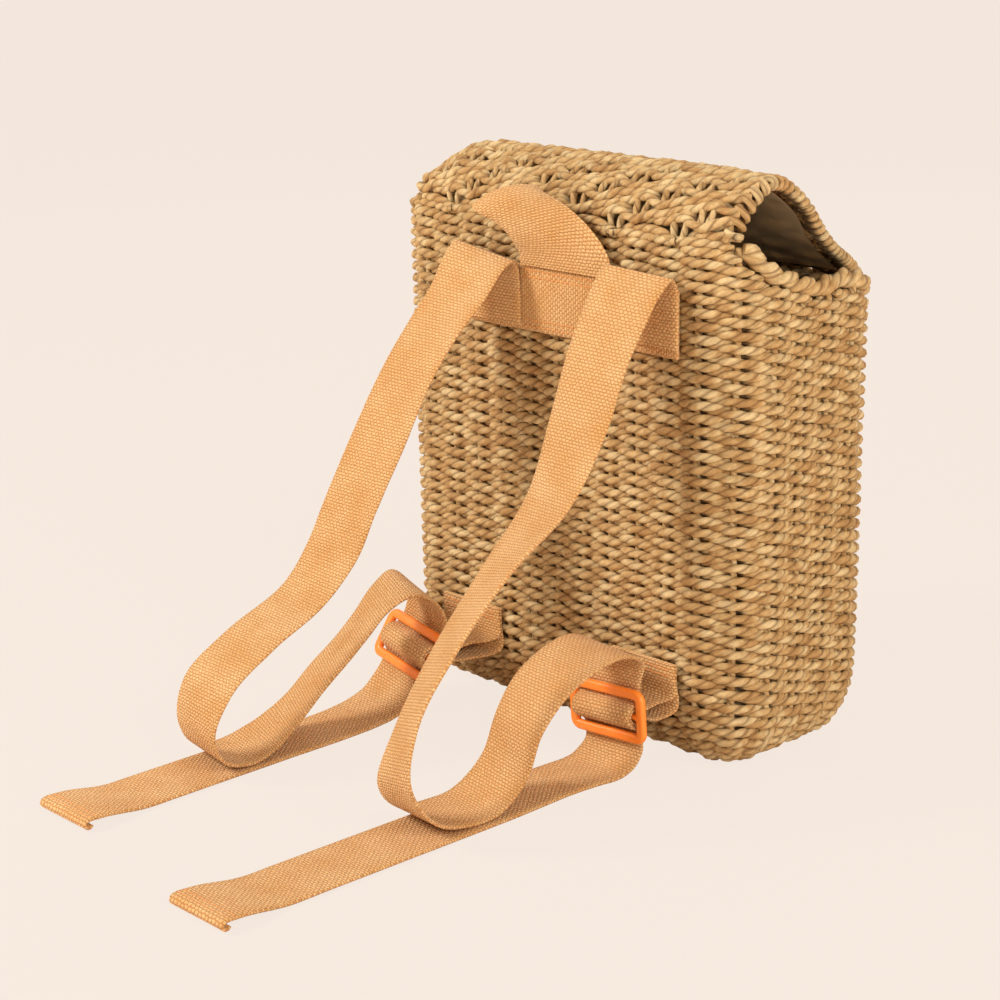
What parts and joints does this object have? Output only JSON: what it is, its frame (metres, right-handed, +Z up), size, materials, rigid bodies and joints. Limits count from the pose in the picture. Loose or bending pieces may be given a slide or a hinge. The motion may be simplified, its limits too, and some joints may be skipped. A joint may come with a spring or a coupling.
{
  "type": "pack basket",
  "caption": "Small woven rope basket worn on the back, with a lid flap woven onto the back wall, webbing shoulder straps and plastic buckles.",
  "frame": {"origin": "middle of the basket's base, on the surface it stands on", "axes": "+Z up; +Y out of the back panel that the wearer's back meets; -Y towards the lid's free end; -X is the wearer's left"},
  "size_m": [0.2278, 0.3563, 0.27],
  "materials": {
    "rope": "matte twisted paper rope, natural tan",
    "border_rope": "matte twisted paper rope, plaited",
    "webbing": "matte woven cotton webbing, amber",
    "thread": "matte sewing thread",
    "lining": "matte cotton lining, olive brown",
    "buckle": "glossy moulded plastic, orange"
  },
  "bodies": {
    "basket": {"basket_wall": "rope", "basket_base": "rope", "rim_border": "border_rope", "lining_wall": "lining", "lining_base": "lining", "anchor_patch": "webbing", "patch_stitching_top": "thread", "patch_stitching_bottom": "thread", "shoulder_strap_left": "webbing", "shoulder_strap_right": "webbing", "hem_stitching_left": "thread", "hem_stitching_right": "thread", "lower_tab_left": "webbing", "lower_tab_right": "webbing", "tab_stitching_left": "thread", "tab_stitching_right": "thread"},
    "lid": {"lid_flap": "rope", "lid_edge_cord": "border_rope", "lid_lining": "lining"},
    "hang_loop": {"hang_loop": "webbing"},
    "buckle_left": {"buckle_left": "buckle"},
    "buckle_right": {"buckle_right": "buckle"}
  },
  "joints": [
    {"name": "lid_hinge", "type": "hinge", "parent": "basket", "child": "lid", "pos_m": [0, 0.052, 0.242], "axis": [-1, 0, 0], "range_deg": [0, 120]},
    {"name": "hang_loop_fold", "type": "hinge", "parent": "basket", "child": "hang_loop", "pos_m": [-0.014, 0.05597, 0.2215], "axis": [-1, 0, 0], "range_deg": [0, 90]},
    {"name": "buckle_tilt_left", "type": "hinge", "parent": "basket", "child": "buckle_left", "pos_m": [-0.053, 0.0704, 0.02782], "axis": [0.9976, 0, -0.0698], "range_deg": [-4, 4]},
    {"name": "buckle_tilt_right", "type": "hinge", "parent": "basket", "child": "buckle_right", "pos_m": [0.07498, 0.07792, 0.02873], "axis": [0.9871, -0.1212, 0.1045], "range_deg": [-4, 4]}
  ],
  "couplings": [
    {"joint": "hang_loop_fold", "follows": "lid_hinge", "ratio": 0.75}
  ]
}
